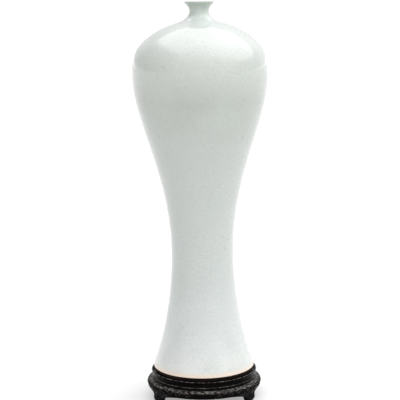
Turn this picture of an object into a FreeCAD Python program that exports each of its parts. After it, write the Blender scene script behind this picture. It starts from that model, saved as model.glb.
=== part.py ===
import FreeCAD, Part
import math
import os

# A tall waisted porcelain bottle vase on its three-legged round hardwood stand.
# Millimetres, +Z up.  The origin is on the floor, on the common axis of the vase
# and the stand.  Angles are counted from the front, -Y, towards +X.

Vector = FreeCAD.Vector
UP = Vector(0, 0, 1)
CENTRE = Vector(0, 0, 0)

# ---------------------------------------------------------------- vase sizes
VASE_HEIGHT = 450.0
SEAT_HEIGHT = 31.0            # floor to the face that the foot ring stands on
WALL = 4.0

# Outside of the wall from the skirt up to the throat, as radius and height above
# the foot ring.  One smooth thrown curve runs through these points.
SKIRT_EDGE = (61.2, 9.0)
OUTSIDE_POINTS = [
    SKIRT_EDGE,
    (56.9, 24.0),
    (49.4, 50.0),
    (40.0, 105.0),
    (37.9, 165.0),            # the waist
    (45.4, 222.0),
    (58.9, 272.0),
    (74.1, 322.0),
    (80.7, 365.0),            # the widest part of the belly
    (74.8, 394.0),
    (60.5, 409.0),
    (43.7, 419.0),
    (28.8, 424.6),
    (17.3, 429.4),            # the collar, where the shoulder turns up into the neck
    (11.6, 438.5),            # the throat
    (13.4, 444.0),
]
COLLAR_INDEX = 13
SKIRT_TANGENT = (-0.12, 1.0)

LIP_RADIUS = 17.8
LIP_ROLL = 0.9                # radius of the rounded edge of the lip
LIP_OUTER_TURN = -45.0        # where the outside curve meets the rounded edge
LIP_INNER_TURN = 110.0        # where the funnel leaves it
FUNNEL_POINT = (12.4, 446.8)

THROAT_BORE = 8.5             # radius of the straight bore inside the neck
THROAT_BOTTOM = 430.0
THROAT_TOP = 441.0

FOOT_OUTER = 58.0
FOOT_INNER = 53.5
FOOT_RECESS = 5.0             # depth of the hollow inside the foot ring
FOOT_CHAMFER = 0.8
FOOT_SWELL = (60.6, 4.6)      # the rounding between the foot ring and the skirt
FLOOR_THICKNESS = 7.0
FLOOR_RADIUS = 46.0
FLOOR_CORNER = (51.3, 15.6)

# --------------------------------------------------------------- stand sizes
STAND_HEIGHT = 35.4           # floor to the top of the fence
FENCE_INNER = 62.3
FENCE_HOLLOW = 63.5           # bottom of the shallow hollow between the two beads
BEAD_OUTER = 64.3
BEAD_ROOT = 63.7
BEAD_HEIGHT = 1.9
FENCE_EDGE = 0.5              # chamfer on the inner top edge
RIM_UNDERSIDE = 26.6
RAIL_INNER = 53.0
RAIL_OUTER = 60.5
RAIL_BOTTOM = 23.4
WAIST_OUTER = 62.9
APRON_TOP = 24.6
APRON_INNER = 60.8

PANEL_TOP = 30.7
PANEL_BOTTOM = 27.5
PANEL_RADIUS = 52.8
TONGUE_RADIUS = 55.4
GROOVE_RADIUS = 55.6
GROOVE_BOTTOM = 27.9
GROOVE_TOP = 29.5

# Outside of a leg from the waist down to the toe, as radius and height.  The apron
# follows its upper part.
KNEE_POINTS = [
    (64.0, APRON_TOP),
    (67.4, 23.7),
    (69.4, 21.7),
    (70.1, 19.0),             # the fullest part of the knee
    (69.0, 15.7),
    (66.6, 12.7),
    (65.6, 10.2),             # the ankle
    (66.4, 6.6),
    (66.0, 3.2),
    (64.2, 0.6),              # the toe
]
TOE_OUTER = 63.6
TOE_INNER = 61.6
SHIN_POINTS = [
    (TOE_INNER, 0.0),
    (60.2, 4.0),
    (59.2, 9.0),
    (57.2, 13.6),
    (55.5, 17.0),
]
LEG_STOCK_INNER = 55.5

# Front of a leg, as half width and height, from the joint with the apron down.
FOOT_OUTLINE = [
    (15.3, 11.2),
    (12.0, 10.4),
    (9.6, 8.2),
    (8.4, 5.2),
    (6.8, 2.2),
    (3.4, 0.0),
]
FOOT_BLOCK_HALF_WIDTH = 20.0

# Lower edge of an apron board, as distance from its middle and height.
APRON_EDGE_POINTS = [
    (26.0, 16.2),
    (35.0, 15.4),
    (42.5, 13.5),
    (47.5, 11.8),
    (53.0, 10.9),
]
APRON_BAND = 10.0             # bottom of the turned stock that the boards are sawn from

LEG_ANGLES = (60.0, 180.0, 300.0)
RIM_JOINT_ANGLES = (0.0, 120.0, 240.0)
LEG_HALF_ANGLE = 13.0
THIRD = 120.0

TENON_RADII = (56.0, 59.5)
TENON_HALF_WIDTH = 4.0
TENON_TOP = 29.2
PEG_RADIUS = 0.7
PEG_HEIGHT = 25.8
PEG_END = 60.2
KEY_RADII = (56.4, 59.6)
KEY_HALF_LENGTH = 5.0
KEY_HEIGHTS = (25.4, 28.8)

APRON_TONGUE_RADII = (63.2, 65.2)
APRON_TONGUE_HEIGHTS = (14.9, 21.4)
APRON_TONGUE_ANGLE = 2.0

BATTEN_OFFSET = 22.0
BATTEN_HALF_WIDTH = 4.0
BATTEN_BOTTOM = 20.4
BATTEN_REACH = 58.0

CUT_ABOVE = 40.0              # tall enough for a cutting block to clear the stand
CUT_RADIUS = 80.0             # wide enough to clear it sideways


# -------------------------------------------------------------------- helpers
def at(radius, height):
    """A point of a turned section, in the XZ plane."""
    return Vector(radius, 0, height)


def line(start, end):
    return Part.LineSegment(at(*start), at(*end)).toShape()


def arc(start, middle, end):
    return Part.Arc(at(*start), at(*middle), at(*end)).toShape()


def smooth_curve(points, start_direction=None, end_direction=None):
    curve = Part.BSplineCurve()
    poles = [at(*point) for point in points]
    if start_direction and end_direction:
        curve.interpolate(Points=poles, InitialTangent=at(*start_direction),
                          FinalTangent=at(*end_direction))
    else:
        curve.interpolate(Points=poles)
    return curve


def polyline(points):
    return [line(start, end) for start, end in zip(points, points[1:])]


def section(edges):
    return Part.Face(Part.Wire(edges))


def turned(face, start_angle=0.0, span=360.0):
    """Turns a section about the axis, from start_angle on, counted from the front."""
    placed = face.copy()
    placed.rotate(CENTRE, UP, start_angle - 90.0)
    return placed.revolve(CENTRE, UP, span)


def block_across(angle, half_width, radii, heights):
    """A box square to the radius that points at an angle from the front."""
    block = Part.makeBox(2 * half_width, radii[1] - radii[0], heights[1] - heights[0],
                         Vector(-half_width, -radii[1], heights[0]))
    block.rotate(CENTRE, UP, angle)
    return block


def sawn_from_front(edges, angle):
    """A closed front outline run through the whole thickness of the stand's wall."""
    block = section(edges).extrude(Vector(0, -CUT_RADIUS, 0))
    block.rotate(CENTRE, UP, angle)
    return block


def joined(shape):
    """A boolean's result as one clean solid."""
    return shape.removeSplitter().Solids[0]


def save(name, shape):
    shape.exportStep("parts/" + name + ".step")
    print(name, "solids", len(shape.Solids), "volume", round(shape.Volume, 1),
          "valid", shape.isValid())


# ----------------------------------------------------------------------- vase
def lip_point(turn):
    """A point on the rounded edge of the lip; turn is counted from outwards to up."""
    angle = math.radians(turn)
    return (LIP_RADIUS - LIP_ROLL + LIP_ROLL * math.cos(angle),
            VASE_HEIGHT - LIP_ROLL + LIP_ROLL * math.sin(angle))


def lip_direction(turn):
    angle = math.radians(turn)
    return (-math.sin(angle), math.cos(angle))


def outside_curve():
    points = OUTSIDE_POINTS + [lip_point(LIP_OUTER_TURN)]
    return smooth_curve(points, SKIRT_TANGENT, lip_direction(LIP_OUTER_TURN))


def inside_points(outside):
    """The outside points from the skirt to the collar, set in by the wall."""
    points = []
    for point in OUTSIDE_POINTS[1:COLLAR_INDEX + 1]:
        tangent = outside.tangent(outside.parameter(at(*point)))[0]
        points.append((point[0] - WALL * tangent.z, point[1] + WALL * tangent.x))
    return points


def vase_section():
    outside = outside_curve()
    inside = inside_points(outside)
    throat_bottom = (THROAT_BORE, THROAT_BOTTOM)
    throat_top = (THROAT_BORE, THROAT_TOP)
    first_slope = (inside[1][0] - inside[0][0], inside[1][1] - inside[0][1])
    wall_inside = smooth_curve(inside + [throat_bottom], first_slope, (0, 1))
    down = tuple(-part for part in (0, 1))
    funnel = smooth_curve([lip_point(LIP_INNER_TURN), FUNNEL_POINT, throat_top],
                          lip_direction(LIP_INNER_TURN), down)
    floor = FOOT_RECESS + FLOOR_THICKNESS
    foot_outline = [(0, floor), (0, FOOT_RECESS), (FOOT_INNER, FOOT_RECESS), (FOOT_INNER, 0),
                    (FOOT_OUTER - FOOT_CHAMFER, 0), (FOOT_OUTER, FOOT_CHAMFER)]
    edges = polyline(foot_outline)
    edges.append(arc(foot_outline[-1], FOOT_SWELL, SKIRT_EDGE))
    edges.append(outside.toShape())
    edges.append(arc(lip_point(LIP_OUTER_TURN), lip_point(0), lip_point(LIP_INNER_TURN)))
    edges.append(funnel.toShape())
    edges.append(line(throat_top, throat_bottom))
    edges.append(wall_inside.toShape())
    edges.append(arc(inside[0], FLOOR_CORNER, (FLOOR_RADIUS, floor)))
    edges.append(line((FLOOR_RADIUS, floor), (0, floor)))
    return section(edges)


def vase_body():
    """One fired piece: foot ring, skirt, waist, belly, shoulder, neck and lip."""
    body = turned(vase_section())
    body.translate(Vector(0, 0, SEAT_HEIGHT))
    return body


# ------------------------------------------------------------------ round rim
def rim_section():
    """Rail, panel groove and upright fence with a bead at its foot and its top."""
    top_root = (BEAD_ROOT, STAND_HEIGHT - BEAD_HEIGHT)
    low_root = (BEAD_ROOT, RIM_UNDERSIDE + BEAD_HEIGHT)
    fence_top = (BEAD_ROOT, STAND_HEIGHT)
    fence_foot = (BEAD_ROOT, RIM_UNDERSIDE)
    middle = (top_root[1] + low_root[1]) / 2
    inner_edges = polyline([
        fence_top,
        (FENCE_INNER + FENCE_EDGE, STAND_HEIGHT),
        (FENCE_INNER, STAND_HEIGHT - FENCE_EDGE),
        (FENCE_INNER, SEAT_HEIGHT),
        (RAIL_INNER, SEAT_HEIGHT),
        (RAIL_INNER, GROOVE_TOP),
        (GROOVE_RADIUS, GROOVE_TOP),
        (GROOVE_RADIUS, GROOVE_BOTTOM),
        (RAIL_INNER, GROOVE_BOTTOM),
        (RAIL_INNER, RAIL_BOTTOM),
        (RAIL_OUTER, RAIL_BOTTOM),
        (RAIL_OUTER, RIM_UNDERSIDE),
        fence_foot,
    ])
    outer_edges = [
        arc(fence_foot, (BEAD_OUTER, RIM_UNDERSIDE + BEAD_HEIGHT / 2), low_root),
        arc(low_root, (FENCE_HOLLOW, middle), top_root),
        arc(top_root, (BEAD_OUTER, STAND_HEIGHT - BEAD_HEIGHT / 2), fence_top),
    ]
    return section(inner_edges + outer_edges)


def rim_arcs(tenons, pegs, keys):
    """Three curved members that meet midway between the legs."""
    arcs = []
    for start in RIM_JOINT_ANGLES:
        member = turned(rim_section(), start, THIRD)
        member = member.cut(tenons).cut(pegs).cut(keys)
        arcs.append(joined(member))
    return arcs


def rim_joint_keys():
    """A loose key in each butt joint of the rim."""
    keys = [block_across(angle, KEY_HALF_LENGTH, KEY_RADII, KEY_HEIGHTS)
            for angle in RIM_JOINT_ANGLES]
    return Part.makeCompound(keys)


def waist_strips():
    """Three narrow bent strips in the recess, which meet over the legs."""
    outline = polyline([(RAIL_OUTER, APRON_TOP), (WAIST_OUTER, APRON_TOP),
                        (WAIST_OUTER, RIM_UNDERSIDE), (RAIL_OUTER, RIM_UNDERSIDE),
                        (RAIL_OUTER, APRON_TOP)])
    return [turned(section(outline), angle, THIRD) for angle in LEG_ANGLES]


# ----------------------------------------------------------------- seat panel
def seat_panel():
    """A round floating panel whose tongue lies in the groove of the rim."""
    outline = polyline([(0, PANEL_BOTTOM), (PANEL_RADIUS, PANEL_BOTTOM),
                        (PANEL_RADIUS, GROOVE_BOTTOM), (TONGUE_RADIUS, GROOVE_BOTTOM),
                        (TONGUE_RADIUS, GROOVE_TOP), (PANEL_RADIUS, GROOVE_TOP),
                        (PANEL_RADIUS, PANEL_TOP), (0, PANEL_TOP), (0, PANEL_BOTTOM)])
    return turned(section(outline))


def panel_batten(offset):
    """A batten under the panel, lapped under the rail at both ends."""
    low = Part.makeBox(2 * BATTEN_HALF_WIDTH, 2 * CUT_RADIUS, RAIL_BOTTOM - BATTEN_BOTTOM,
                       Vector(offset - BATTEN_HALF_WIDTH, -CUT_RADIUS, BATTEN_BOTTOM))
    low = low.common(Part.makeCylinder(BATTEN_REACH, CUT_ABOVE))
    high = Part.makeBox(2 * BATTEN_HALF_WIDTH, 2 * CUT_RADIUS, PANEL_BOTTOM - RAIL_BOTTOM,
                        Vector(offset - BATTEN_HALF_WIDTH, -CUT_RADIUS, RAIL_BOTTOM))
    high = high.common(Part.makeCylinder(PANEL_RADIUS, CUT_ABOVE))
    return joined(low.fuse(high))


# ------------------------------------------------------------- apron and legs
def knee_curve():
    return smooth_curve(KNEE_POINTS)


def leg_section():
    inner_edges = polyline([SHIN_POINTS[-1], (LEG_STOCK_INNER, RAIL_BOTTOM),
                            (RAIL_OUTER, RAIL_BOTTOM), (RAIL_OUTER, APRON_TOP),
                            KNEE_POINTS[0]])
    toe = polyline([KNEE_POINTS[-1], (TOE_OUTER, 0), SHIN_POINTS[0]])
    return section(inner_edges + [knee_curve().toShape()] + toe
                   + [smooth_curve(SHIN_POINTS).toShape()])


def apron_band():
    """The turned ring of stock between two legs, before its lower edge is sawn."""
    knee = section([knee_curve().toShape()]
                   + polyline([KNEE_POINTS[-1], (0, KNEE_POINTS[-1][1]), (0, APRON_TOP),
                               KNEE_POINTS[0]]))
    band = section(polyline([(APRON_INNER, APRON_BAND), (CUT_RADIUS, APRON_BAND),
                             (CUT_RADIUS, APRON_TOP), (APRON_INNER, APRON_TOP),
                             (APRON_INNER, APRON_BAND)]))
    return knee.common(band).Faces[0]


def apron_saw_cut():
    """What is sawn away under an apron board: flat in the middle, drooping to the legs."""
    right = [(x, z) for x, z in APRON_EDGE_POINTS]
    left = [(-x, z) for x, z in reversed(APRON_EDGE_POINTS)]
    return [smooth_curve(left, (1, 0.1), (1, 0)).toShape(),
            line(left[-1], right[0]),
            smooth_curve(right, (1, 0), (1, -0.1)).toShape()] + polyline(
        [right[-1], (right[-1][0], -APRON_BAND), (left[0][0], -APRON_BAND), left[0]])


def apron_board(middle_angle, band):
    """A bowed board between two legs, with a tongue at each end."""
    half_span = THIRD / 2 - LEG_HALF_ANGLE
    board = turned(band, middle_angle - half_span, 2 * half_span)
    board = board.cut(sawn_from_front(apron_saw_cut(), middle_angle))
    for tongue in apron_tongues(middle_angle):
        board = board.fuse(tongue)
    return joined(board)


def apron_tongues(middle_angle):
    inner, outer = APRON_TONGUE_RADII
    low, high = APRON_TONGUE_HEIGHTS
    face = section(polyline([(inner, low), (outer, low), (outer, high), (inner, high),
                             (inner, low)]))
    half_span = THIRD / 2 - LEG_HALF_ANGLE
    return [turned(face, middle_angle + half_span, APRON_TONGUE_ANGLE),
            turned(face, middle_angle - half_span - APRON_TONGUE_ANGLE, APRON_TONGUE_ANGLE)]


def foot_outline():
    """Front outline of a leg: wide above for the knee, drawn in to the toe."""
    right = FOOT_OUTLINE
    left = [(-x, z) for x, z in reversed(FOOT_OUTLINE)]
    wide = FOOT_BLOCK_HALF_WIDTH
    shoulder = right[0][1]
    above = polyline([left[-1], (-wide, shoulder), (-wide, CUT_ABOVE), (wide, CUT_ABOVE),
                      (wide, shoulder), right[0]])
    return (above + [smooth_curve(right).toShape(), line(right[-1], left[0]),
                     smooth_curve(left).toShape()])


def tenon(angle):
    return block_across(angle, TENON_HALF_WIDTH, TENON_RADII, (RAIL_BOTTOM, TENON_TOP))


def leg(angle, pegs):
    """Knee and foot cut from one block, with a tenon up into the rim."""
    body = turned(leg_section(), angle - LEG_HALF_ANGLE, 2 * LEG_HALF_ANGLE)
    body = body.common(sawn_from_front(foot_outline(), angle))
    for middle_angle in (angle - THIRD / 2, angle + THIRD / 2):
        for tongue in apron_tongues(middle_angle):
            body = body.cut(tongue)
    body = body.fuse(tenon(angle)).cut(pegs)
    return joined(body)


def tenon_pegs():
    """A round peg driven outwards through the rail and each leg's tenon."""
    pegs = []
    for angle in LEG_ANGLES:
        peg = Part.makeCylinder(PEG_RADIUS, PEG_END - RAIL_INNER,
                                Vector(0, -RAIL_INNER, PEG_HEIGHT), Vector(0, -1, 0))
        peg.rotate(CENTRE, UP, angle)
        pegs.append(peg)
    return Part.makeCompound(pegs)


# ----------------------------------------------------------------------- main
def main():
    os.makedirs("parts", exist_ok=True)
    save("vase_body", vase_body())
    save("seat_panel", seat_panel())

    tenons = Part.makeCompound([tenon(angle) for angle in LEG_ANGLES])
    pegs = tenon_pegs()
    keys = rim_joint_keys()
    save("tenon_pegs", pegs)
    save("rim_joint_keys", keys)
    for number, member in enumerate(rim_arcs(tenons, pegs, keys), start=1):
        save("rim_arc_%d" % number, member)
    for number, strip in enumerate(waist_strips(), start=1):
        save("waist_strip_%d" % number, strip)
    band = apron_band()
    for number, angle in enumerate(RIM_JOINT_ANGLES, start=1):
        save("apron_board_%d" % number, apron_board(angle, band))
    for number, angle in enumerate(LEG_ANGLES, start=1):
        save("leg_%d" % number, leg(angle, pegs))
    save("panel_batten_left", panel_batten(-BATTEN_OFFSET))
    save("panel_batten_right", panel_batten(BATTEN_OFFSET))


main()
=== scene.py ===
import math

import bmesh
import bpy
import numpy as np
from mathutils import Euler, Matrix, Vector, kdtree


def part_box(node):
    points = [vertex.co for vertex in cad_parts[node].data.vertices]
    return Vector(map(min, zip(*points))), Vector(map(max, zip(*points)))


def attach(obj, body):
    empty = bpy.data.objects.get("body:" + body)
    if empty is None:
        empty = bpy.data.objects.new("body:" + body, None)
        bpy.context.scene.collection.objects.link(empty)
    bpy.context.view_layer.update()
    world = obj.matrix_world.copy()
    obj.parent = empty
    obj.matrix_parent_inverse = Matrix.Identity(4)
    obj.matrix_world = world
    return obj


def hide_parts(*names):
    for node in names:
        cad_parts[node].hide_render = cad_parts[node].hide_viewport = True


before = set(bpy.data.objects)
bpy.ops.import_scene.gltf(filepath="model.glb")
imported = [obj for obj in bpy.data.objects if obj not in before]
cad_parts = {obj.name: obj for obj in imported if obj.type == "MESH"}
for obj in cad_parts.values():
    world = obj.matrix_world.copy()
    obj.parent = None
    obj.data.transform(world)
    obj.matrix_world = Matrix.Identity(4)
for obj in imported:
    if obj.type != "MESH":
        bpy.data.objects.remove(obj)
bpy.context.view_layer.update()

# A tall waisted porcelain vase on a carved, black hardwood stand.  Lengths in the
# tables below are millimetres, turned to metres by MM.  Angles are counted from the
# front, -Y, towards +X, as the stand's own joints are.
MM = 0.001
VASE_LOW, VASE_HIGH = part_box("vase_body")
SEAT = VASE_LOW.z / MM
STAND_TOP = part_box("rim_arc_1")[1].z / MM
APRON_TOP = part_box("apron_board_1")[1].z / MM
THIRD = 120.0
LEG_ANGLES = (60.0, 180.0, 300.0)
JOINT_ANGLES = (0.0, 120.0, 240.0)
LEG_HALF_ANGLE = 13.0


# ------------------------------------------------------------------ curve tools
def spline(points, count, start=None, end=None):
    """A smooth cubic curve through 2-D points; start and end are its end directions."""
    points = np.asarray(points, float)
    knots = np.concatenate([[0.0], np.cumsum(np.linalg.norm(np.diff(points, axis=0), axis=1))])
    steps = np.diff(knots)
    size = len(points)
    matrix = np.zeros((size, size))
    values = np.zeros((size, 2))
    for i in range(1, size - 1):
        before, after = steps[i - 1], steps[i]
        matrix[i, i - 1:i + 2] = after, 2 * (before + after), before
        values[i] = 3 * (after * (points[i] - points[i - 1]) / before
                         + before * (points[i + 1] - points[i]) / after)
    for row, beside, step, direction, chord in (
            (0, 1, steps[0], start, points[1] - points[0]),
            (size - 1, size - 2, steps[-1], end, points[-1] - points[-2])):
        if direction is None:
            matrix[row, row], matrix[row, beside] = 2.0, 1.0
            values[row] = 3 * chord / step
        else:
            matrix[row, row] = 1.0
            values[row] = np.asarray(direction, float) / np.linalg.norm(direction)
    slopes = np.linalg.solve(matrix, values)
    t = np.linspace(0.0, knots[-1], count)
    i = np.clip(np.searchsorted(knots, t, side="right") - 1, 0, size - 2)
    h = steps[i][:, None]
    s = ((t - knots[i])[:, None]) / h
    return ((2 * s**3 - 3 * s**2 + 1) * points[i] + (s**3 - 2 * s**2 + s) * h * slopes[i]
            + (3 * s**2 - 2 * s**3) * points[i + 1] + (s**3 - s**2) * h * slopes[i + 1])


def arc_points(centre, radius, first, last, count):
    """Points on a circle from one angle to another, in degrees."""
    turn = np.radians(np.linspace(first, last, count))
    return np.stack([centre[0] + radius * np.cos(turn), centre[1] + radius * np.sin(turn)], 1)


def straight(start, end, count):
    return np.linspace(start, end, count)


def three_point_arc(start, middle, end, count):
    """The circular arc through three points."""
    (ax, ay), (bx, by), (cx, cy) = start, middle, end
    d = 2 * (ax * (by - cy) + bx * (cy - ay) + cx * (ay - by))
    a2, b2, c2 = ax * ax + ay * ay, bx * bx + by * by, cx * cx + cy * cy
    ux = (a2 * (by - cy) + b2 * (cy - ay) + c2 * (ay - by)) / d
    uy = (a2 * (cx - bx) + b2 * (ax - cx) + c2 * (bx - ax)) / d
    turn = [math.atan2(y - uy, x - ux) for x, y in (start, middle, end)]
    full = 2 * math.pi
    sweep = (turn[2] - turn[0]) % full
    if (turn[1] - turn[0]) % full > sweep:
        sweep -= full
    angles = turn[0] + np.linspace(0.0, sweep, count)
    radius = math.hypot(ax - ux, ay - uy)
    return np.stack([ux + radius * np.cos(angles), uy + radius * np.sin(angles)], 1)


def chain(*pieces):
    """Joins point runs end to end and drops the doubled points between them."""
    points = [pieces[0]]
    for piece in pieces[1:]:
        near = np.linalg.norm(piece[0] - points[-1][-1]) < 1e-6
        points.append(piece[1:] if near else piece)
    return np.concatenate(points)


# ------------------------------------------------------------------- mesh tools
def on_circle(radius, angle):
    """X and Y at a radius and an angle from the front, in radians."""
    return radius * np.sin(angle), -radius * np.cos(angle)


def new_object(name, vertices, faces):
    mesh = bpy.data.meshes.new(name)
    mesh.from_pydata((np.asarray(vertices) * MM).tolist(), [], faces)
    tidy = bmesh.new()
    tidy.from_mesh(mesh)
    bmesh.ops.recalc_face_normals(tidy, faces=tidy.faces)
    tidy.to_mesh(mesh)
    tidy.free()
    mesh.shade_smooth()
    piece = bpy.data.objects.new(name, mesh)
    bpy.context.scene.collection.objects.link(piece)
    return piece


def grid_faces(rows, columns, wrap_rows, wrap_columns):
    faces = []
    for i in range(rows if wrap_rows else rows - 1):
        a, b = i * columns, ((i + 1) % rows) * columns
        for j in range(columns if wrap_columns else columns - 1):
            k = (j + 1) % columns
            faces.append((a + j, a + k, b + k, b + j))
    return faces


def turned_piece(name, profile, segments):
    """A full turn of a profile of (radius, height) that starts and ends on the axis."""
    angles = np.linspace(0.0, 2 * math.pi, segments, endpoint=False)
    ring = profile[1:-1]
    x, y = on_circle(ring[:, 0][:, None], angles[None, :])
    z = np.repeat(ring[:, 1][:, None], segments, axis=1)
    vertices = np.stack([x, y, z], -1).reshape(-1, 3)
    faces = grid_faces(len(ring), segments, False, True)
    vertices = np.concatenate([vertices, [(0, 0, profile[0][1]), (0, 0, profile[-1][1])]])
    first, last, base = len(vertices) - 2, len(vertices) - 1, (len(ring) - 1) * segments
    for j in range(segments):
        k = (j + 1) % segments
        faces.append((first, k, j))
        faces.append((last, base + j, base + k))
    return new_object(name, vertices, faces)


def swept_piece(name, sections, angles):
    """A closed section (sections[i] at angles[i]) carried round the axis, with end caps."""
    angle = np.radians(angles)[:, None]
    x, y = on_circle(sections[:, :, 0], angle)
    vertices = np.stack([x, y, sections[:, :, 1]], -1).reshape(-1, 3)
    rows, columns = sections.shape[:2]
    faces = grid_faces(rows, columns, False, True)
    faces.append(tuple(range(columns))[::-1])
    faces.append(tuple(range((rows - 1) * columns, rows * columns)))
    return new_object(name, vertices, faces)


def eased_ends(sections, ease):
    """Draws the first and last sections in a little, so that a joint shows as a fine line."""
    sections = sections.copy()
    for end in (0, -1):
        middle = sections[end].mean(0)
        towards = middle - sections[end]
        length = np.maximum(np.linalg.norm(towards, axis=1, keepdims=True), 1e-9)
        sections[end] += towards / length * ease
    return sections


def joint_angles(start, span, step, ease):
    """Angles along a member, with one extra close to each end for the eased corner."""
    inner = np.linspace(start + ease, start + span - ease, max(3, int(span / step)))
    return np.concatenate([[start], inner, [start + span]])


# ------------------------------------------------------------------------ vase
# Outside of the wall, as radius and height above the foot ring.
SKIRT_EDGE = (61.2, 9.0)
OUTSIDE_POINTS = [
    SKIRT_EDGE, (56.9, 24.0), (49.4, 50.0), (40.0, 105.0), (37.9, 165.0), (45.4, 222.0),
    (58.9, 272.0), (74.1, 322.0), (80.7, 365.0), (74.8, 394.0), (60.5, 409.0),
    (43.7, 419.0), (28.8, 424.6), (17.3, 429.4), (11.6, 438.5), (13.4, 444.0),
]
COLLAR_INDEX = 13
SKIRT_DIRECTION = (-0.12, 1.0)
VASE_HEIGHT = (VASE_HIGH.z - VASE_LOW.z) / MM
LIP_ROLL = 0.9
LIP_FROM = -45.0               # degrees of the rolled lip, from outside to inside
LIP_TO = 110.0
LIP_CENTRE = (16.9, VASE_HEIGHT - LIP_ROLL)
FUNNEL_POINT = (12.4, VASE_HEIGHT - 3.2)
THROAT_BORE = 8.5
THROAT_BOTTOM = 430.0
THROAT_TOP = 441.0
WALL = 4.0
FOOT_OUTER = 58.0
FOOT_INNER = 53.5
FOOT_RECESS = 5.0
FOOT_FILLET = 1.5
FOOT_SWELL = (60.6, 4.6)
FLOOR_HEIGHT = 12.0
FLOOR_RADIUS = 46.0
FLOOR_CORNER = (51.3, 15.6)
FOOT_EASE = 0.6
VASE_SEGMENTS = 200
OUTSIDE_STEPS = 240
INSIDE_STEPS = 90


def lip_direction(turn):
    angle = math.radians(turn)
    return (-math.sin(angle), math.cos(angle))


def vase_profile():
    """The whole outline, from the underside's centre round the lip to the inner floor."""
    lip = arc_points(LIP_CENTRE, LIP_ROLL, LIP_FROM, LIP_TO, 22)
    outside = spline(OUTSIDE_POINTS + [tuple(lip[0])], OUTSIDE_STEPS, SKIRT_DIRECTION,
                     lip_direction(LIP_FROM))
    nearest = [np.argmin(np.linalg.norm(outside - point, axis=1))
               for point in OUTSIDE_POINTS[1:COLLAR_INDEX + 1]]
    slope = np.gradient(outside, axis=0)
    slope /= np.linalg.norm(slope, axis=1, keepdims=True)
    inner = [outside[i] + WALL * np.array([-slope[i][1], slope[i][0]]) for i in nearest]
    inside = spline(inner + [(THROAT_BORE, THROAT_BOTTOM)], INSIDE_STEPS, inner[1] - inner[0],
                    (0, 1))
    funnel = spline([lip[-1], FUNNEL_POINT, (THROAT_BORE, THROAT_TOP)], 24,
                    lip_direction(LIP_TO), (0, -1))
    foot = chain(
        straight((0.0, FOOT_RECESS), (FOOT_INNER - FOOT_FILLET, FOOT_RECESS), 10),
        arc_points((FOOT_INNER - FOOT_FILLET, FOOT_RECESS - FOOT_FILLET), FOOT_FILLET,
                   90.0, 0.0, 7),
        straight((FOOT_INNER, FOOT_RECESS - FOOT_FILLET), (FOOT_INNER, FOOT_EASE), 5),
        arc_points((FOOT_INNER + FOOT_EASE, FOOT_EASE), FOOT_EASE, 180.0, 270.0, 6),
        straight((FOOT_INNER + FOOT_EASE, 0.0), (FOOT_OUTER - FOOT_EASE, 0.0), 5),
        arc_points((FOOT_OUTER - FOOT_EASE, FOOT_EASE), FOOT_EASE, -90.0, -10.0, 6),
    )
    swell = three_point_arc(tuple(foot[-1]), FOOT_SWELL, SKIRT_EDGE, 16)
    throat = straight((THROAT_BORE, THROAT_TOP), (THROAT_BORE, THROAT_BOTTOM), 8)
    corner = three_point_arc(tuple(inner[0]), FLOOR_CORNER, (FLOOR_RADIUS, FLOOR_HEIGHT), 12)
    floor = straight((FLOOR_RADIUS, FLOOR_HEIGHT), (0.0, FLOOR_HEIGHT), 10)
    return chain(foot, swell, outside, lip, funnel, throat, inside[::-1], corner, floor)


def make_vase():
    """The vase, its belly's radius taken from the frame."""
    profile = vase_profile() + np.array([0.0, SEAT])
    profile[:, 0] *= VASE_HIGH.x / MM / profile[:, 0].max()
    return turned_piece("vase_porcelain", profile, VASE_SEGMENTS)


# ----------------------------------------------------------------------- stand
FENCE_INNER = 62.3
FENCE_HOLLOW = 62.95
FENCE_CHAMFER = 0.5
BEAD_OUTER = 64.3
BEAD_ROOT = 63.4
BEAD_HEIGHT = 1.9
RIM_UNDERSIDE = 26.6
RAIL_INNER = 53.0
RAIL_OUTER = 60.5
RAIL_BOTTOM = 23.4
WAIST_OUTER = 62.9
PANEL_TOP = 30.7
PANEL_BOTTOM = 27.5
PANEL_RADIUS = 52.8
TONGUE_RADIUS = 55.4
GROOVE_RADIUS = 55.6
GROOVE_BOTTOM = 27.9
GROOVE_TOP = 29.5
PANEL_LINES = (30.0, 49.0)     # two shallow turned lines on the panel's face
PANEL_LINE_HALF_WIDTH = 0.5
PANEL_LINE_DEPTH = 0.3
PANEL_SEGMENTS = 160
EDGE = 0.25                    # how far a worked wooden edge is rounded over
JOINT_EASE = 0.12
SWEEP_STEP = 1.2


def rounded(points, radius, steps=3):
    """A closed outline of straight runs with each corner rounded over."""
    points = np.asarray(points, float)
    size = len(points)
    out = []
    for i in range(size):
        here, before, after = points[i], points[i - 1], points[(i + 1) % size]
        back, ahead = before - here, after - here
        reach = min(radius, 0.45 * np.linalg.norm(back), 0.45 * np.linalg.norm(ahead))
        a = here + back / np.linalg.norm(back) * reach
        b = here + ahead / np.linalg.norm(ahead) * reach
        for t in np.linspace(0.0, 1.0, steps):
            out.append((1 - t)**2 * a + 2 * t * (1 - t) * here + t * t * b)
    return np.array(out)


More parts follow.
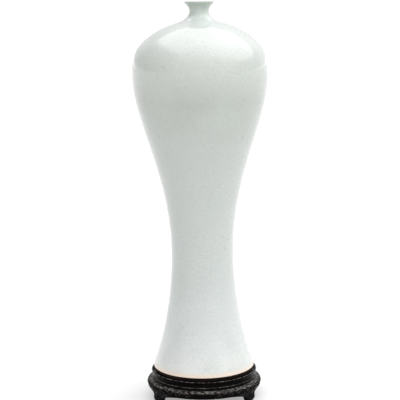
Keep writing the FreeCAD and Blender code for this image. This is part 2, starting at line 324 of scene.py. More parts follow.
def rim_profile():
    """The rim: an upright fence with a bead at top and foot, and a grooved rail inside."""
    top = STAND_TOP - BEAD_HEIGHT
    low = RIM_UNDERSIDE + BEAD_HEIGHT
    beads = chain(
        three_point_arc((BEAD_ROOT, RIM_UNDERSIDE), (BEAD_OUTER, RIM_UNDERSIDE + BEAD_HEIGHT / 2),
                        (BEAD_ROOT, low), 12),
        three_point_arc((BEAD_ROOT, low), (FENCE_HOLLOW, (low + top) / 2), (BEAD_ROOT, top), 12),
        three_point_arc((BEAD_ROOT, top), (BEAD_OUTER, STAND_TOP - BEAD_HEIGHT / 2),
                        (BEAD_ROOT, STAND_TOP), 12),
    )
    rail = [(FENCE_INNER + FENCE_CHAMFER, STAND_TOP), (FENCE_INNER, STAND_TOP - FENCE_CHAMFER),
            (FENCE_INNER, SEAT), (RAIL_INNER, SEAT), (RAIL_INNER, GROOVE_TOP),
            (GROOVE_RADIUS, GROOVE_TOP), (GROOVE_RADIUS, GROOVE_BOTTOM),
            (RAIL_INNER, GROOVE_BOTTOM), (RAIL_INNER, RAIL_BOTTOM),
            (RAIL_OUTER, RAIL_BOTTOM), (RAIL_OUTER, RIM_UNDERSIDE)]
    corners = rounded([beads[-1]] + rail + [beads[0]], EDGE)
    return np.concatenate([beads[1:-1], corners[1:-1]])


def constant_sweep(name, profile, start, span):
    """A member with the same profile all along, from one butt joint to the next."""
    angles = joint_angles(start, span, SWEEP_STEP, JOINT_EASE)
    sections = np.repeat(profile[None], len(angles), axis=0)
    return swept_piece(name, eased_ends(sections, JOINT_EASE), angles)


def waist_profile():
    return rounded([(RAIL_OUTER, APRON_TOP), (WAIST_OUTER, APRON_TOP),
                    (WAIST_OUTER, RIM_UNDERSIDE), (RAIL_OUTER, RIM_UNDERSIDE)], EDGE / 2)


def panel_profile():
    """The seat panel, with eased edges and its turned lines."""
    half = PANEL_LINE_HALF_WIDTH
    face = [(PANEL_RADIUS, PANEL_TOP)]
    for radius in PANEL_LINES[::-1]:
        face += [(radius + half, PANEL_TOP), (radius, PANEL_TOP - PANEL_LINE_DEPTH),
                 (radius - half, PANEL_TOP)]
    outline = [(PANEL_RADIUS, PANEL_BOTTOM), (PANEL_RADIUS, GROOVE_BOTTOM),
               (TONGUE_RADIUS, GROOVE_BOTTOM), (TONGUE_RADIUS, GROOVE_TOP),
               (PANEL_RADIUS, GROOVE_TOP)] + face
    eased = rounded([(0.0, PANEL_TOP), (0.0, PANEL_BOTTOM)] + outline, EDGE)
    beside_axis = 6            # points that round the two corners on the axis, left out
    return np.concatenate([[(0.0, PANEL_BOTTOM)], eased[beside_axis:], [(0.0, PANEL_TOP)]])


# Outside of a leg from the waist to the toe; the apron boards share its upper part.
KNEE_POINTS = [
    (64.0, APRON_TOP), (67.4, 23.7), (69.4, 21.7), (70.1, 19.0), (69.0, 15.7),
    (66.6, 12.7), (65.6, 10.2), (66.4, 6.6), (66.0, 3.2), (64.2, 0.6),
]
TOE_OUTER = 63.6
SHIN_TOP = 17.0
LEG_BACK = 55.5
SHIN_POINTS = [(61.6, 0.0), (60.2, 4.0), (59.2, 9.0), (57.2, 13.6), (LEG_BACK, SHIN_TOP)]
APRON_INNER = 60.8
FOOT_OUTLINE = [(15.3, 11.2), (12.0, 10.4), (9.6, 8.2), (8.4, 5.2), (6.8, 2.2), (3.4, 0.0)]
APRON_EDGE_POINTS = [(26.0, 16.2), (35.0, 15.4), (42.5, 13.5), (47.5, 11.8), (53.0, 10.9)]
KNEE_RADIUS = 67.0             # where widths along the front of the stand are counted
CARVING_STEP = 0.32            # between sections; the rows are counts down each section
APRON_ROWS = 40
LEG_ROWS = 96
SHIN_ROWS = 14
EDGE_LINE_STEPS = 400
KNEE = chain(spline(KNEE_POINTS, 160), straight(KNEE_POINTS[-1], (TOE_OUTER, 0.0), 5))
KNEE_RUN = np.concatenate([[0.0], np.cumsum(np.linalg.norm(np.diff(KNEE, axis=0), axis=1))])
SHIN = spline(SHIN_POINTS, 40)
FOOT_EDGE = spline(FOOT_OUTLINE, 60)[::-1]
APRON_EDGE = spline(APRON_EDGE_POINTS, 60, (1, 0), (1, -0.1))


def knee_run_at(height):
    """Distance down the knee's curve at which it reaches a height."""
    return np.interp(-height, -KNEE[:, 1], KNEE_RUN)


def edge_height(edge, angle_from_middle):
    """Height of a lower edge, given as distance across and height."""
    across = KNEE_RADIUS * abs(math.sin(math.radians(angle_from_middle)))
    return float(np.interp(across, edge[:, 0], edge[:, 1]))


def apron_low(angle_from_middle):
    return edge_height(APRON_EDGE, angle_from_middle)


def leg_low(angle_from_middle):
    return edge_height(FOOT_EDGE, angle_from_middle)


# --------------------------------------------------------------------- carving
# The carving is laid out on the unrolled front of the stand: u runs along the knee's
# circle from a leg's middle line, v down the knee's curve from the recess.
RIDGE_HEIGHT = 0.55
GROUND_DEPTH = 0.6
EDGE_BEAD_WIDTH = 1.7
EDGE_GROOVE_DEPTH = 0.45
EDGE_GROOVE_HALF_WIDTH = 0.45
CARVED_REACH = 57.0            # a plain tablet is left at the middle of each apron board
CARVED_FADE = 1.2
TABLET_LINE_DEPTH = 0.7
TOP_MARGIN = 0.9
TOP_FADE = 0.7
BEAD_FADE_FROM = -0.2          # from the bead's inner edge
BEAD_FADE_TO = 0.5
TOOL_MARK_DEPTH = 0.06
SCROLL_STEPS = 46              # points in one turn of a scroll
SCROLL_SHRINK = 0.8            # share of its radius that a scroll loses, and how evenly
SCROLL_POWER = 0.85


def spiral(centre, radius, first, turns, hand, widths):
    """A scroll that winds in from first, in degrees; hand is +1 or -1."""
    t = np.linspace(0.0, 1.0, int(SCROLL_STEPS * turns) + 8)
    angle = np.radians(first) + hand * turns * 2 * math.pi * t
    reach = radius * (1.0 - SCROLL_SHRINK * t**SCROLL_POWER)
    return np.stack([centre[0] + reach * np.cos(angle), centre[1] + reach * np.sin(angle),
                     widths[0] + (widths[1] - widths[0]) * t], 1)


def stroke(points, widths):
    """A carved line through a few points, tapering from one width to the other."""
    curve = spline(points, 60)
    width = np.linspace(widths[0], widths[1], len(curve))
    return np.column_stack([curve, width])


def carved_lines():
    """One half of a leg's cloud scrolls; the other half mirrors it."""
    knee_head = [
        stroke([(0.0, 2.4), (2.6, 1.9), (5.2, 2.9), (7.4, 5.6)], (0.9, 0.85)),
        spiral((4.4, 6.3), 3.1, -12.0, 1.5, 1, (0.85, 0.5)),
        stroke([(0.0, 9.6), (1.6, 10.6), (3.2, 10.4)], (0.8, 0.55)),
        stroke([(0.0, 13.6), (1.5, 11.9), (4.4, 11.7), (7.4, 12.9)], (0.9, 0.6)),
        spiral((6.4, 15.2), 2.3, -60.0, 1.3, 1, (0.75, 0.45)),
    ]
    shin = [
        stroke([(0.0, 17.2), (1.9, 18.6), (2.6, 20.6)], (0.8, 0.6)),
        spiral((3.0, 24.4), 2.5, -100.0, 1.4, 1, (0.85, 0.5)),
        stroke([(0.0, 20.4), (0.9, 22.6), (0.6, 25.6)], (0.7, 0.5)),
    ]
    side_scrolls = [
        spiral((13.6, 6.1), 3.3, 150.0, 1.5, -1, (0.9, 0.5)),
        stroke([(10.7, 7.7), (11.6, 10.9), (15.0, 12.2), (18.6, 10.6), (20.6, 7.6)], (0.9, 0.7)),
        spiral((13.2, 15.0), 1.9, -30.0, 1.2, 1, (0.7, 0.4)),
        spiral((23.2, 5.4), 2.7, 150.0, 1.4, 1, (0.85, 0.45)),
        stroke([(18.0, 3.0), (20.6, 2.2), (23.4, 2.4), (26.0, 4.6)], (0.6, 0.8)),
        stroke([(25.4, 7.2), (28.0, 8.6), (30.6, 7.4)], (0.8, 0.6)),
        spiral((31.4, 4.9), 2.0, 100.0, 1.25, -1, (0.75, 0.4)),
        stroke([(32.6, 3.0), (35.6, 2.2), (38.6, 2.6), (41.0, 4.2)], (0.7, 0.8)),
        spiral((40.2, 5.7), 2.4, -40.0, 1.35, 1, (0.8, 0.45)),
        stroke([(35.0, 7.6), (37.4, 9.2), (40.8, 9.5), (43.6, 7.8)], (0.6, 0.75)),
        spiral((46.6, 5.6), 2.6, 150.0, 1.4, -1, (0.85, 0.45)),
        stroke([(43.6, 3.2), (46.2, 1.8), (49.4, 2.0), (51.8, 3.4)], (0.6, 0.75)),
        spiral((52.6, 5.4), 2.1, 100.0, 1.25, -1, (0.75, 0.4)),
        stroke([(48.6, 8.6), (51.8, 9.3), (55.0, 8.0)], (0.75, 0.4)),
    ]
    return knee_head + shin + side_scrolls


def lower_edge_line():
    """The lower outline of leg and apron together, on the unrolled front."""
    angles = np.linspace(0.0, THIRD / 2, EDGE_LINE_STEPS)
    across = np.radians(angles) * KNEE_RADIUS
    run = [knee_run_at(leg_low(a) if a <= LEG_HALF_ANGLE else apron_low(THIRD / 2 - a))
           for a in angles]
    return np.column_stack([across, run])


def tree_of(points):
    """Finds the nearest of many points on the unrolled front."""
    tree = kdtree.KDTree(len(points))
    for i, point in enumerate(points):
        tree.insert((point[0], point[1], 0.0), i)
    tree.balance()
    return tree


RIDGES = np.concatenate(carved_lines())
RIDGE_TREE = tree_of(RIDGES)
EDGE_TREE = tree_of(lower_edge_line())


def smooth_step(low, high, value):
    t = min(1.0, max(0.0, (value - low) / (high - low)))
    return t * t * (3 - 2 * t)


def carving_depth(u, v):
    """How far the carver cut below the knee's curve at a point of the unrolled front."""
    u = abs(u)
    beside_edge = EDGE_TREE.find((u, v, 0.0))[2]
    groove = EDGE_GROOVE_DEPTH * math.exp(
        -((beside_edge - EDGE_BEAD_WIDTH) / EDGE_GROOVE_HALF_WIDTH)**2)
    line = TABLET_LINE_DEPTH * math.exp(-((u - CARVED_REACH) / EDGE_GROOVE_HALF_WIDTH)**2)
    groove = max(groove, line * smooth_step(0.0, TOP_MARGIN, v))
    zone = 1.0 - smooth_step(CARVED_REACH - CARVED_FADE, CARVED_REACH, u)
    zone *= smooth_step(TOP_MARGIN, TOP_MARGIN + TOP_FADE, v)
    zone *= smooth_step(EDGE_BEAD_WIDTH + BEAD_FADE_FROM, EDGE_BEAD_WIDTH + BEAD_FADE_TO,
                        beside_edge)
    if zone <= 0.0:
        return groove
    _, index, away = RIDGE_TREE.find((u, v, 0.0))
    across = away / RIDGES[index][2]
    ridge = RIDGE_HEIGHT * math.sqrt(max(0.0, 1.0 - across * across)) if across < 1.0 else 0.0
    tool_marks = TOOL_MARK_DEPTH * math.sin(2.3 * u + 1.1 * v) * math.sin(1.7 * v - 0.6 * u)
    return max(groove, zone * (GROUND_DEPTH - ridge + tool_marks * (across > 1.0)))


def carved_front(run_end, u, count):
    """The outer face of one section, from the recess down to run_end, cut by the carving."""
    run = np.linspace(0.0, run_end, count)
    points = np.stack([np.interp(run, KNEE_RUN, KNEE[:, 0]),
                       np.interp(run, KNEE_RUN, KNEE[:, 1])], 1)
    slope = np.gradient(points, axis=0)
    slope /= np.linalg.norm(slope, axis=1, keepdims=True)
    inward = np.stack([slope[:, 1], -slope[:, 0]], 1)
    depth = np.array([carving_depth(u, v) for v in run])
    return points + inward * depth[:, None]


def apron_section(low, u):
    """One section of an apron board, whose lower edge is at low."""
    front = carved_front(knee_run_at(low), u, APRON_ROWS)
    under = rounded([tuple(front[-1]), (APRON_INNER, low), (APRON_INNER, APRON_TOP),
                     tuple(front[0])], EDGE)
    return np.concatenate([front[1:-1], under])


def leg_section(low, u):
    """One section of a leg: carved front, sole or lower outline, shin, and top under the rim."""
    front = carved_front(knee_run_at(low), u, LEG_ROWS)
    heights = np.linspace(max(low, 0.0), SHIN_TOP, SHIN_ROWS)
    shin = np.stack([np.interp(heights, SHIN[:, 1], SHIN[:, 0]), heights], 1)
    top = rounded([tuple(shin[-1]), (LEG_BACK, RAIL_BOTTOM), (RAIL_OUTER, RAIL_BOTTOM),
                   (RAIL_OUTER, APRON_TOP), tuple(front[0])], EDGE)[1:]
    corners = [tuple(front[-2]), tuple(front[-1]), tuple(shin[0]), tuple(shin[1])]
    foot = rounded(corners, EDGE)[3:-3]
    return np.concatenate([front[1:-1], foot, shin[1:-1], top])


def carved_sweep(name, middle, half_span, section, low_of, leg_angle_of):
    """A leg or an apron board, its front carved section by section.

    At each angle from the member's own middle, low_of gives the height of its lower edge
    and leg_angle_of the angle from the nearest leg's middle line.
    """
    ease = math.degrees(JOINT_EASE / KNEE_RADIUS)
    step = math.degrees(CARVING_STEP / KNEE_RADIUS)
    offsets = joint_angles(-half_span, 2 * half_span, step, ease)
    sections = []
    for offset in offsets:
        u = math.radians(leg_angle_of(offset)) * KNEE_RADIUS
        sections.append(section(low_of(offset), u))
    return swept_piece(name, eased_ends(np.array(sections), JOINT_EASE), offsets + middle)


def make_leg(number, angle):
    return carved_sweep(f"carved_leg_{number}", angle, LEG_HALF_ANGLE, leg_section, leg_low,
                        lambda offset: offset)


def make_apron(number, angle):
    half_span = THIRD / 2 - LEG_HALF_ANGLE
    return carved_sweep(f"carved_apron_{number}", angle, half_span, apron_section, apron_low,
                        lambda offset: THIRD / 2 - abs(offset))


# ------------------------------------------------------------------- materials
def new_material(name):
    material = bpy.data.materials.new(name)
    material.use_nodes = True
    nodes = material.node_tree.nodes
    nodes.clear()
    output = nodes.new("ShaderNodeOutputMaterial")
    shader = nodes.new("ShaderNodeBsdfPrincipled")
    material.node_tree.links.new(shader.outputs["BSDF"], output.inputs["Surface"])
    return material, shader


class Nodes:
    """Short ways to add and join the nodes of a material or of the world."""

    def __init__(self, owner):
        self.tree = owner.node_tree

    def add(self, kind, **settings):
        node = self.tree.nodes.new(kind)
        for key, value in settings.items():
            setattr(node, key, value)
        return node

    def join(self, source, target):
        self.tree.links.new(source, target)

    def place(self):
        return self.add("ShaderNodeTexCoord").outputs["Object"]

    def math(self, operation, first, second=None, third=None):
        node = self.add("ShaderNodeMath", operation=operation)
        for socket, value in zip(node.inputs, (first, second, third)):
            if value is None:
                continue
            if isinstance(value, (int, float)):
                socket.default_value = value
            else:
                self.join(value, socket)
        return node.outputs[0]

    def noise(self, vector, scale, detail, roughness=0.5, distortion=0.0):
        node = self.add("ShaderNodeTexNoise")
        node.inputs["Scale"].default_value = scale
        node.inputs["Detail"].default_value = detail
        node.inputs["Roughness"].default_value = roughness
        node.inputs["Distortion"].default_value = distortion
        self.join(vector, node.inputs["Vector"])
        return node

    def ramp(self, value, stops):
        """A value run through colour stops, each (position, colour)."""
        node = self.add("ShaderNodeValToRGB")
        elements = node.color_ramp.elements
        while len(elements) < len(stops):
            elements.new(0.5)
        for element, (position, colour) in zip(elements, stops):
            element.position = position
            element.color = (*colour, 1.0)
        self.join(value, node.inputs["Fac"])
        return node.outputs["Color"]

    def mix(self, amount, first, second):
        node = self.add("ShaderNodeMix", data_type="RGBA")
        for socket, value in ((node.inputs[0], amount), (node.inputs[6], first),
                              (node.inputs[7], second)):
            if isinstance(value, (int, float)):
                socket.default_value = value
            elif isinstance(value, tuple):
                socket.default_value = (*value, 1.0)
            else:
                self.join(value, socket)
        return node.outputs[2]

    def between(self, value, low, high, out_low=0.0, out_high=1.0):
        node = self.add("ShaderNodeMapRange", interpolation_type="SMOOTHSTEP")
        for name, number in (("From Min", low), ("From Max", high), ("To Min", out_low),
                             ("To Max", out_high)):
            node.inputs[name].default_value = number
        self.join(value, node.inputs["Value"])
        return node.outputs["Result"]

    def bump(self, height, strength, distance, normal=None):
        node = self.add("ShaderNodeBump")
        node.inputs["Strength"].default_value = strength
        node.inputs["Distance"].default_value = distance
        self.join(height, node.inputs["Height"])
        if normal is not None:
            self.join(normal, node.inputs["Normal"])
        return node.outputs["Normal"]


def linear(red, green, blue):
    """An sRGB colour, 0 to 255, as linear light."""
    def one(value):
        value /= 255.0
        return value / 12.92 if value <= 0.04045 else ((value + 0.055) / 1.055)**2.4
    return (one(red), one(green), one(blue))


# Tone of the glaze by height above the foot ring, mm: pale on the skirt and the shoulder as
# painted light, darker under the belly and in the mouth as painted shade, and greener at the
# mouth.
GLAZE_TONES_AND_SHADE = [
    (14.0, linear(215, 217, 215)), (60.0, linear(202, 207, 206)), (120.0, linear(192, 197, 195)),
    (280.0, linear(186, 191, 187)), (335.0, linear(175, 180, 174)), (378.0, linear(196, 200, 195)),
    (405.0, linear(210, 214, 211)), (430.0, linear(209, 216, 213)), (446.0, linear(172, 181, 172)),
]
CLOUD_TINT = linear(188, 195, 190)
CRACKLE_TINT = linear(138, 143, 136)
FOOT_CREAM = linear(222, 205, 190)
# iron-brown foot, darkened near-black as painted shade in the gap under the stand's rim
IRON_BROWN_AND_SHADE = linear(15, 9, 7)
IRON_PALE_AND_SHADE = linear(30, 19, 15)
BISCUIT = linear(120, 88, 66)
BISCUIT_DARK = linear(84, 58, 44)
CREAM_FULL = 9.4               # heights above the foot ring, mm
CREAM_END = 16.5
RING_TOP = 1.6

# Crackles: cells in a metre, a line's width in cells, waves in a metre that bend the cells.
FINE_CRACKLE = (520.0, 0.1, 240.0)
COARSE_CRACKLE = (190.0, 0.045, 90.0)
CELL_BEND = 0.5                # how far a border wanders, in cells
FINE_STRENGTH = 0.2
COARSE_STRENGTH = 0.3
HEM_WAVE = 1.5                 # how far the glaze's lower edge wanders, mm
# Depths of the small unevenness in the surfaces, metres.
GLAZE_WAVE_DEPTH = 0.0006
CRACKLE_DEPTH = 0.00004
PINHOLE_DEPTH = 0.00003
CLAY_GRAIN_DEPTH = 0.00015
WOOD_GRAIN_DEPTH = 0.0001
WOOD_PORE_DEPTH = 0.00006
# Noise scales, in waves in a metre.
CLOUDS = 14.0
CRACKLE_PATCHES = 30.0
HEM_RIPPLES = 60.0
GLAZE_WAVES = 22.0
PINHOLES = 900.0
GLAZE_SHEEN_PATCHES = 40.0
CLAY_GRAINS = 260.0
CLAY_STAINS = 35.0
WOOD_GRAINS = 420.0
WOOD_PORES = 1500.0
WOOD_SHEEN_PATCHES = 90.0
DUST_AND_HIGHLIGHT_PATCHES = 260.0
FLOOR_PATCHES = 9.0
NOISE_RANGE = (0.3, 0.7)       # nearly all of a noise's values lie in it
GLAZE_ROUGHNESS = (0.26, 0.36)
CLAY_ROUGHNESS = (0.7, 0.9)


def crackle(n, place, cells_per_metre, line, bends_per_metre):
    """Thin lines along the borders of warped cells: 1 on a line, 0 inside a cell."""
    warp = n.noise(place, bends_per_metre, 2.0)
    moved = n.add("ShaderNodeVectorMath", operation="MULTIPLY_ADD")
    n.join(warp.outputs["Color"], moved.inputs[0])
    moved.inputs[1].default_value = (CELL_BEND / cells_per_metre,) * 3
    n.join(place, moved.inputs[2])
    cells = n.add("ShaderNodeTexVoronoi", feature="DISTANCE_TO_EDGE")
    cells.inputs["Scale"].default_value = cells_per_metre
    cells.inputs["Randomness"].default_value = 1.0
    n.join(moved.outputs[0], cells.inputs["Vector"])
    return n.between(cells.outputs["Distance"], 0.0, line, 1.0, 0.0)


def crackle_network(n, place):
    """A coarse crackle, with a fine one inside it that comes and goes."""
    fine = crackle(n, place, *FINE_CRACKLE)
    coarse = crackle(n, place, *COARSE_CRACKLE)
    patches = n.noise(place, CRACKLE_PATCHES, 2.0).outputs["Fac"]
    patchy = n.between(patches, *NOISE_RANGE, 0.35, 1.0)
    fine = n.math("MULTIPLY", fine, n.math("MULTIPLY", patchy, FINE_STRENGTH))
    return n.math("MAXIMUM", fine, n.math("MULTIPLY", coarse, COARSE_STRENGTH))


def glaze_colour(n, place, network):
    """Tone by height with painted light and shade, clouded and crackled, turning cream where the
    glaze ends.
    """
    parts = n.add("ShaderNodeSeparateXYZ")
    n.join(place, parts.inputs[0])
    height = n.math("SUBTRACT", parts.outputs["Z"], SEAT * MM)
    share = n.math("DIVIDE", height, VASE_HEIGHT * MM)
    colour = n.ramp(share, [(level / VASE_HEIGHT, tone) for level, tone in GLAZE_TONES_AND_SHADE])
    cloud = n.between(n.noise(place, CLOUDS, 3.0).outputs["Fac"], 0.4, 0.75, 0.0, 0.6)
    colour = n.mix(cloud, colour, CLOUD_TINT)
    colour = n.mix(network, colour, CRACKLE_TINT)
    ragged = n.noise(place, HEM_RIPPLES, 3.0).outputs["Fac"]
    wavy = n.math("MULTIPLY_ADD", ragged, 2 * HEM_WAVE * MM, -HEM_WAVE * MM)
    band = n.between(n.math("ADD", height, wavy), CREAM_FULL * MM, CREAM_END * MM, 1.0, 0.0)
    return n.mix(band, colour, FOOT_CREAM)


def glaze_material():
    """Pale celadon glaze with a fine crackle network, cream where it ends at the skirt."""
    material, shader = new_material("crackle_glaze")
    n = Nodes(material)
    place = n.place()
    network = crackle_network(n, place)
    n.join(glaze_colour(n, place, network), shader.inputs["Base Color"])
    waves = n.noise(place, GLAZE_WAVES, 2.0).outputs["Fac"]
    pinholes = n.noise(place, PINHOLES, 2.0).outputs["Fac"]
    normal = n.bump(waves, 0.35, GLAZE_WAVE_DEPTH)
    normal = n.bump(network, 0.25, CRACKLE_DEPTH, normal)
    normal = n.bump(pinholes, 0.05, PINHOLE_DEPTH, normal)
    n.join(normal, shader.inputs["Normal"])
    n.join(normal, shader.inputs["Coat Normal"])
    sheen = n.noise(place, GLAZE_SHEEN_PATCHES, 3.0).outputs["Fac"]
    n.join(n.between(sheen, *NOISE_RANGE, *GLAZE_ROUGHNESS), shader.inputs["Roughness"])
    shader.inputs["IOR"].default_value = 1.35
    shader.inputs["Coat Weight"].default_value = 0.9
    shader.inputs["Coat Roughness"].default_value = 0.045
    shader.inputs["Coat IOR"].default_value = 1.5
    return material


def clay_material(name, base, stained, speck):
    """Bare fired clay, dry and slightly gritty."""
    material, shader = new_material(name)
    n = Nodes(material)
    place = n.place()
    grain = n.noise(place, CLAY_GRAINS, 5.0, 0.65).outputs["Fac"]
    stain = n.noise(place, CLAY_STAINS, 3.0).outputs["Fac"]
    colour = n.mix(n.between(stain, 0.4, 0.75), base, stained)
    colour = n.mix(n.between(grain, 0.6, 0.75, 0.0, 0.4), colour, speck)
    n.join(colour, shader.inputs["Base Color"])
    n.join(n.between(grain, *NOISE_RANGE, *CLAY_ROUGHNESS), shader.inputs["Roughness"])
    n.join(n.bump(grain, 0.4, CLAY_GRAIN_DEPTH), shader.inputs["Normal"])
    shader.inputs["Specular IOR Level"].default_value = 0.1
    return material


EBONY = linear(3, 3, 3)
EBONY_STREAK = linear(10, 8, 7)
EBONY_WORN_HIGHLIGHT = linear(74, 68, 64)
# pale on upward faces: dust, and a painted highlight where the overhead light falls
WOOD_DUST_AND_HIGHLIGHT = linear(122, 118, 115)
STAINED = linear(58, 42, 34)
STAINED_STREAK = linear(84, 60, 44)
PEG = linear(150, 112, 74)
PEG_STREAK = linear(120, 84, 52)
ROUND_STRETCH = 0.006          # metres of grain pattern in a radian round the axis
STRAIGHT_STRETCH = 0.09        # pattern's scale along straight grain, as a share of across
DUST_AND_HIGHLIGHT_SLOPE = (0.5, 0.95)      # upward part of the normal where dust and painted highlight start and are thickest
WORN_HIGHLIGHT_POINTINESS = (0.52, 0.6)  # where an edge starts to be rubbed and paled as painted highlight, and is fully so
RIM_ROUGHNESS = 0.17
PANEL_ROUGHNESS = 0.24
STAINED_ROUGHNESS = 0.55
PEG_ROUGHNESS = 0.6
SMOOTHER = 0.05                # how far a roughness strays below and above its value
ROUGHER = 0.08
PANEL_DUST_AND_HIGHLIGHT = 0.25              # share of the dust and painted highlight that lies on the rest of the stand


def grain_place(n, place, round_grain):
    """Coordinates drawn out along the grain, which runs round the axis or front to back."""
    parts = n.add("ShaderNodeSeparateXYZ")
    n.join(place, parts.inputs[0])
    x, y = parts.outputs["X"], parts.outputs["Y"]
    across = n.add("ShaderNodeCombineXYZ")
    if round_grain:
        square = n.math("ADD", n.math("POWER", x, 2.0), n.math("POWER", y, 2.0))
        n.join(n.math("MULTIPLY", n.math("ARCTAN2", x, y), ROUND_STRETCH), across.inputs["X"])
        n.join(n.math("SQRT", square), across.inputs["Y"])
    else:
        n.join(x, across.inputs["X"])
        n.join(n.math("MULTIPLY", y, STRAIGHT_STRETCH), across.inputs["Y"])
    n.join(parts.outputs["Z"], across.inputs["Z"])
    return across.outputs[0]


def dust_and_highlight(n, place, dust_and_highlight_share):
    """How much dust and painted highlight a point gets: pale patches on whatever faces up, where
    the overhead light falls.
    """
    faces = n.add("ShaderNodeSeparateXYZ")
    n.join(n.add("ShaderNodeNewGeometry").outputs["Normal"], faces.inputs[0])
    upward = n.between(faces.outputs["Z"], *DUST_AND_HIGHLIGHT_SLOPE, 0.0, dust_and_highlight_share)
    patches = n.noise(place, DUST_AND_HIGHLIGHT_PATCHES, 4.0, 0.6).outputs["Fac"]
    return n.math("MULTIPLY", upward, n.between(patches, 0.38, 0.66, 0.05, 1.0))


def wood_material(name, base, streak, worn_highlight, roughness, dust_and_highlight_share, round_grain):
    """Hardwood with pores and streaks, paler on rubbed edges and where dust settles; the rubbed
    edges and the upward faces also carry painted highlights.
    """
    material, shader = new_material(name)
    n = Nodes(material)
    place = n.place()
    along = grain_place(n, place, round_grain)
    grain = n.noise(along, WOOD_GRAINS, 5.0, 0.6, 0.3).outputs["Fac"]
    pores = n.noise(along, WOOD_PORES, 2.0).outputs["Fac"]
    colour = n.mix(n.between(grain, 0.4, 0.72), base, streak)
    pointiness = n.add("ShaderNodeNewGeometry").outputs["Pointiness"]
    # paler rubbed edges: wear, and painted highlight streaks along the sharp edges
    worn_highlight_edge = n.between(pointiness, *WORN_HIGHLIGHT_POINTINESS)
    rubbed_highlight = n.math("MULTIPLY", worn_highlight_edge, n.between(grain, 0.3, 0.6, 0.35, 1.0))
    colour = n.mix(rubbed_highlight, colour, worn_highlight)
    # dust and painted highlight on upward faces
    colour = n.mix(dust_and_highlight(n, place, dust_and_highlight_share), colour, WOOD_DUST_AND_HIGHLIGHT)
    n.join(colour, shader.inputs["Base Color"])
    sheen = n.noise(place, WOOD_SHEEN_PATCHES, 4.0).outputs["Fac"]
    sheen = n.between(sheen, *NOISE_RANGE, roughness - SMOOTHER, roughness + ROUGHER)
    n.join(sheen, shader.inputs["Roughness"])
    normal = n.bump(grain, 0.25, WOOD_GRAIN_DEPTH)
    normal = n.bump(pores, 0.3, WOOD_PORE_DEPTH, normal)
    n.join(normal, shader.inputs["Normal"])
    shader.inputs["IOR"].default_value = 1.45
    shader.inputs["Specular IOR Level"].default_value = 0.03
    return material


FLOOR_PALE = linear(192, 192, 192)
FLOOR_SHADE = linear(188, 188, 188)
FLOOR_GLOW = 0.36


def floor_material():
    """A plain pale studio table that gives off a little light of its own."""
    material, shader = new_material("pale_floor")
    n = Nodes(material)
    patches = n.noise(n.place(), FLOOR_PATCHES, 3.0).outputs["Fac"]
    colour = n.mix(n.between(patches, 0.4, 0.6), FLOOR_SHADE, FLOOR_PALE)
    n.join(colour, shader.inputs["Base Color"])
    shader.inputs["Emission Color"].default_value = (1.0, 1.0, 1.0, 1.0)
    shader.inputs["Emission Strength"].default_value = FLOOR_GLOW
    shader.inputs["Roughness"].default_value = 0.9
    shader.inputs["Specular IOR Level"].default_value = 0.1
    return material


def give(piece, *materials):
    piece.data.materials.clear()
    for material in materials:
        piece.data.materials.append(material)
    return piece


# -------------------------------------------------------------------- assembly
def place_piece(piece, body, node):
    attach(piece, body)
    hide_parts(node)


def build_vase():
    """The vase: glazed, with a biscuit foot ring and an iron-brown skirt above it, darkened
    near-black as painted shade where it sits in the gap under the stand's rim.
    """
    glaze = glaze_material()
    biscuit = clay_material("bare_porcelain", BISCUIT, BISCUIT_DARK, IRON_BROWN_AND_SHADE)
    iron_shade = clay_material("iron_brown_shaded_skirt", IRON_BROWN_AND_SHADE, IRON_PALE_AND_SHADE, BISCUIT_DARK)
    vase = give(make_vase(), glaze, biscuit, iron_shade)
    in_biscuit, in_iron_shade = 1, 2
    for face in vase.data.polygons:
        height = face.center.z / MM - SEAT
        radius = math.hypot(face.center.x, face.center.y) / MM
        if radius > FOOT_INNER - FOOT_EASE / 2 and height < SKIRT_EDGE[1]:
            face.material_index = in_biscuit if height < RING_TOP else in_iron_shade
    place_piece(vase, "vase", "vase_body")


def build_stand():
    """The stand's rim, boards, strips, legs and panel, in black stained hardwood."""
    ebony = (EBONY, EBONY_STREAK, EBONY_WORN_HIGHLIGHT)
    ebony_round = wood_material("ebonised_round", *ebony, RIM_ROUGHNESS, 1.0, True)
    ebony_plain = wood_material("ebonised_plain", *ebony, PANEL_ROUGHNESS, PANEL_DUST_AND_HIGHLIGHT, False)
    for number, start in enumerate(JOINT_ANGLES, start=1):
        rim = constant_sweep(f"turned_rim_{number}", rim_profile(), start, THIRD)
        place_piece(give(rim, ebony_round), "stand", f"rim_arc_{number}")
        apron = make_apron(number, start)
        place_piece(give(apron, ebony_round), "stand", f"apron_board_{number}")
    for number, angle in enumerate(LEG_ANGLES, start=1):
        strip = constant_sweep(f"recess_strip_{number}", waist_profile(), angle, THIRD)
        place_piece(give(strip, ebony_round), "stand", f"waist_strip_{number}")
        leg = make_leg(number, angle)
        place_piece(give(leg, ebony_round), "stand", f"leg_{number}")
    panel = turned_piece("round_panel", panel_profile(), PANEL_SEGMENTS)
    place_piece(give(panel, ebony_plain), "stand", "seat_panel")


def colour_hidden_parts():
    """The frame's own battens, pegs and keys keep their shape and get plain wood."""
    stained = wood_material("stained_plain", STAINED, STAINED_STREAK, EBONY_WORN_HIGHLIGHT,
                            STAINED_ROUGHNESS, 0.0, False)
    peg_wood = wood_material("peg_wood", PEG, PEG_STREAK, PEG, PEG_ROUGHNESS, 0.0, False)
    for node in ("panel_batten_left", "panel_batten_right"):
        give(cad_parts[node], stained)
    for node in ("tenon_pegs", "rim_joint_keys"):
        give(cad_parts[node], peg_wood)


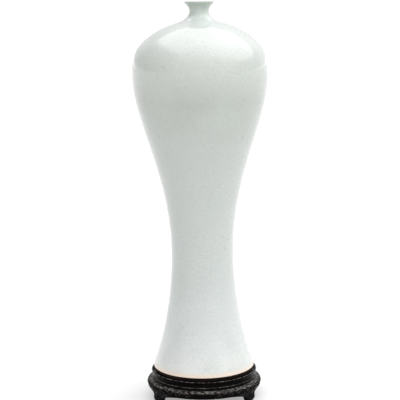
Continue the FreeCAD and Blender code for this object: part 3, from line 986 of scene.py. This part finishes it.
# ----------------------------------------------------------------- studio, view
# The camera and the floor in metres and degrees, and the lens in millimetres.
CAMERA_DISTANCE = 1.5115
CAMERA_HEIGHT = 0.5074
CAMERA_LENS = 114.5
CAMERA_TILT = 9.877
CAMERA_ROLL = -0.8
CAMERA_YAW = 0.077
VIEW_DEPTH = 200.0
FLOOR_SIZE = 160.0


def add_floor():
    mesh = bpy.data.meshes.new("studio_floor")
    half = FLOOR_SIZE / 2
    corners = [(-half, -half, 0), (half, -half, 0), (half, half, 0), (-half, half, 0)]
    mesh.from_pydata(corners, [], [(0, 1, 2, 3)])
    floor = bpy.data.objects.new("studio_floor", mesh)
    bpy.context.scene.collection.objects.link(floor)
    give(floor, floor_material())


# The studio's light, as brightness seen from the object by direction.  The window is a
# wide overhead softbox, its edges given as sideways and backward steps per step up.
HORIZON_LIGHT = 0.3
WINDOW_LIGHT = 1.6
WINDOW_LEFT = (-0.9, -0.6)
WINDOW_RIGHT = (2.5, 3.5)
WINDOW_BACK = (1.0, 1.12)
WINDOW_FRONT = (-2.0, -0.1)
RIGHT_LIGHT = 0.36
RIGHT_RANGE = (0.1, 0.8)
FRONT_LIGHT = 0.7
FRONT_RANGE = (0.2, 0.9)
FRONT_TOP = (0.5, 0.95)
FAR_LIGHT = 0.8
FAR_TOP = (0.015, 0.03)
BACK_LIGHT = 0.5
BACK_RANGE = (0.2, 0.9)
BACK_TOP = (0.6, 0.8)


def low_light(n, towards, reach, up, top, strength):
    """Light from one side of the room, fading out with height."""
    amount = n.math("MULTIPLY", n.between(towards, *reach), n.between(up, *top, 1.0, 0.0))
    return n.math("MULTIPLY", amount, strength)


def studio_world():
    """Pale surroundings, a large overhead window, and low light from right, front and back."""
    world = bpy.data.worlds.new("studio")
    world.use_nodes = True
    background = world.node_tree.nodes["Background"]
    n = Nodes(world)
    parts = n.add("ShaderNodeSeparateXYZ")
    n.join(n.add("ShaderNodeTexCoord").outputs["Generated"], parts.inputs[0])
    x, y, z = parts.outputs["X"], parts.outputs["Y"], parts.outputs["Z"]
    up = n.math("MAXIMUM", z, 0.02)
    sideways = n.math("DIVIDE", x, up)
    backward = n.math("DIVIDE", y, up)
    window = n.math("MULTIPLY", n.between(sideways, *WINDOW_LEFT),
                    n.between(sideways, *WINDOW_RIGHT, 1.0, 0.0))
    window = n.math("MULTIPLY", window, n.between(backward, *WINDOW_BACK, 1.0, 0.0))
    window = n.math("MULTIPLY", window, n.between(backward, *WINDOW_FRONT))
    front = n.math("MULTIPLY", y, -1.0)
    light = n.math("MULTIPLY_ADD", window, WINDOW_LIGHT, HORIZON_LIGHT)
    light = n.math("ADD", light, n.between(x, *RIGHT_RANGE, 0.0, RIGHT_LIGHT))
    light = n.math("ADD", light, low_light(n, front, FRONT_RANGE, z, FRONT_TOP, FRONT_LIGHT))
    light = n.math("ADD", light, low_light(n, y, BACK_RANGE, z, BACK_TOP, BACK_LIGHT))
    light = n.math("ADD", light, n.between(z, *FAR_TOP, FAR_LIGHT, 0.0))
    background.inputs["Color"].default_value = (1.0, 1.0, 1.0, 1.0)
    n.join(light, background.inputs["Strength"])
    bpy.context.scene.world = world


def add_camera():
    data = bpy.data.cameras.new("camera")
    data.lens = CAMERA_LENS
    data.clip_end = VIEW_DEPTH
    camera = bpy.data.objects.new("camera", data)
    camera.location = (0.0, -CAMERA_DISTANCE, CAMERA_HEIGHT)
    yaw = Euler((0.0, 0.0, math.radians(CAMERA_YAW))).to_matrix()
    pitch = Euler((math.radians(90.0 - CAMERA_TILT), 0.0, 0.0)).to_matrix()
    roll = Euler((0.0, 0.0, math.radians(CAMERA_ROLL))).to_matrix()
    camera.rotation_euler = (yaw @ pitch @ roll).to_euler()
    bpy.context.scene.collection.objects.link(camera)
    bpy.context.scene.camera = camera


build_vase()
build_stand()
colour_hidden_parts()
add_floor()
studio_world()
add_camera()
bpy.context.scene.view_settings.view_transform = "Standard"
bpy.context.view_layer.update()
